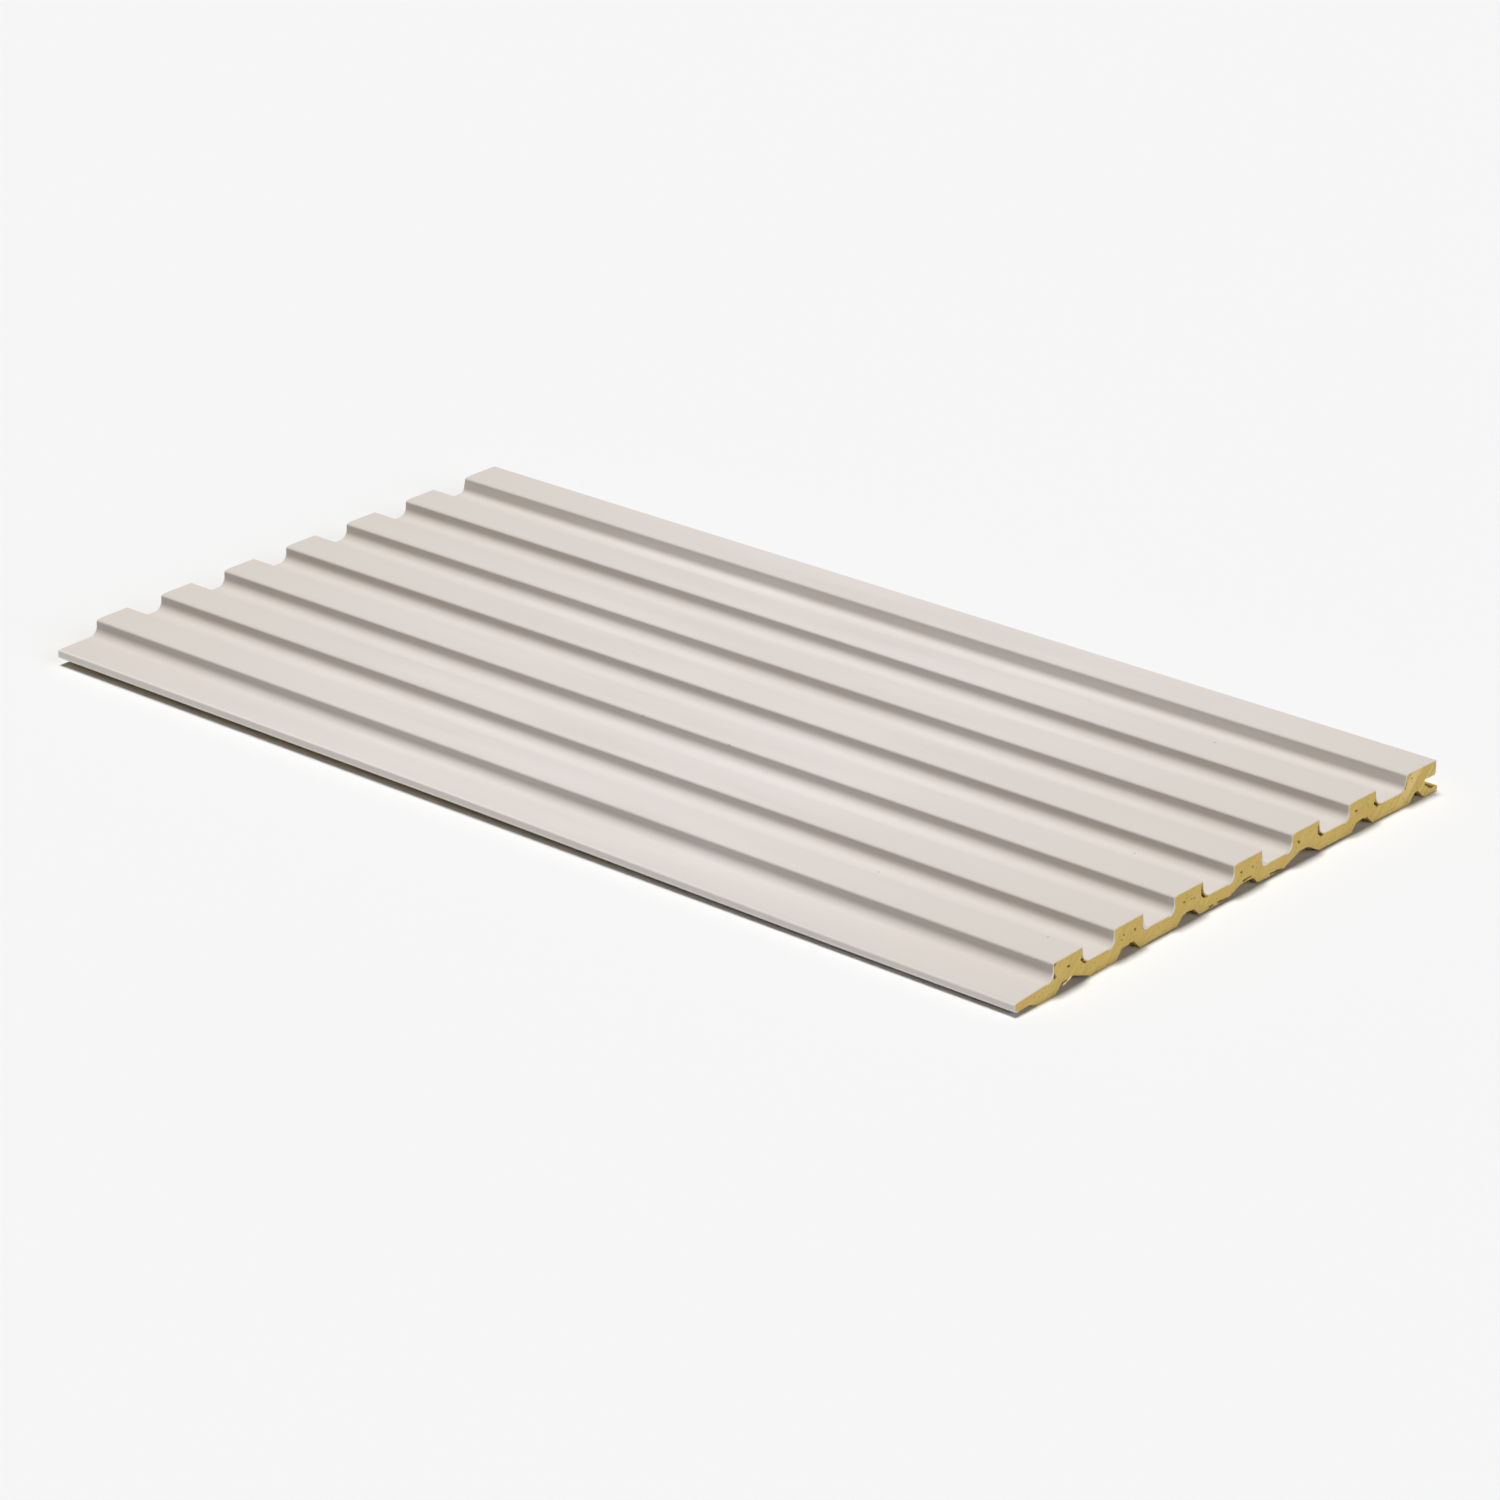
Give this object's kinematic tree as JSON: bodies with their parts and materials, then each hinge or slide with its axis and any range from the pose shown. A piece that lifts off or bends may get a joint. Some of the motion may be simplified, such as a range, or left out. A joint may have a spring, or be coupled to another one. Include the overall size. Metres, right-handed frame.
{
  "type": "fluted wall panel",
  "caption": "Flat wall panel with parallel ribs on its face, recesses along its back, and a tongue and a groove along its long edges that join it to like panels.",
  "frame": {"origin": "middle of the panel's back plane, under the middle of its bounding box", "axes": "+X along the flutes, towards the sawn end nearest the camera in the picture; +Y across the flutes, from the tongue edge to the groove edge; +Z out of the ribbed face, away from the wall"},
  "size_m": [0.3, 0.154, 0.008],
  "materials": {
    "wrap_film": "matte warm-grey decorative film, wrapped over the ribbed face and both long edges",
    "raw_core": "bare mustard-coloured wood-plastic composite, finely porous, seen on the sawn ends and the back"
  },
  "bodies": {
    "root": {"fluted_panel": "wrap_film"}
  },
  "joints": []
}
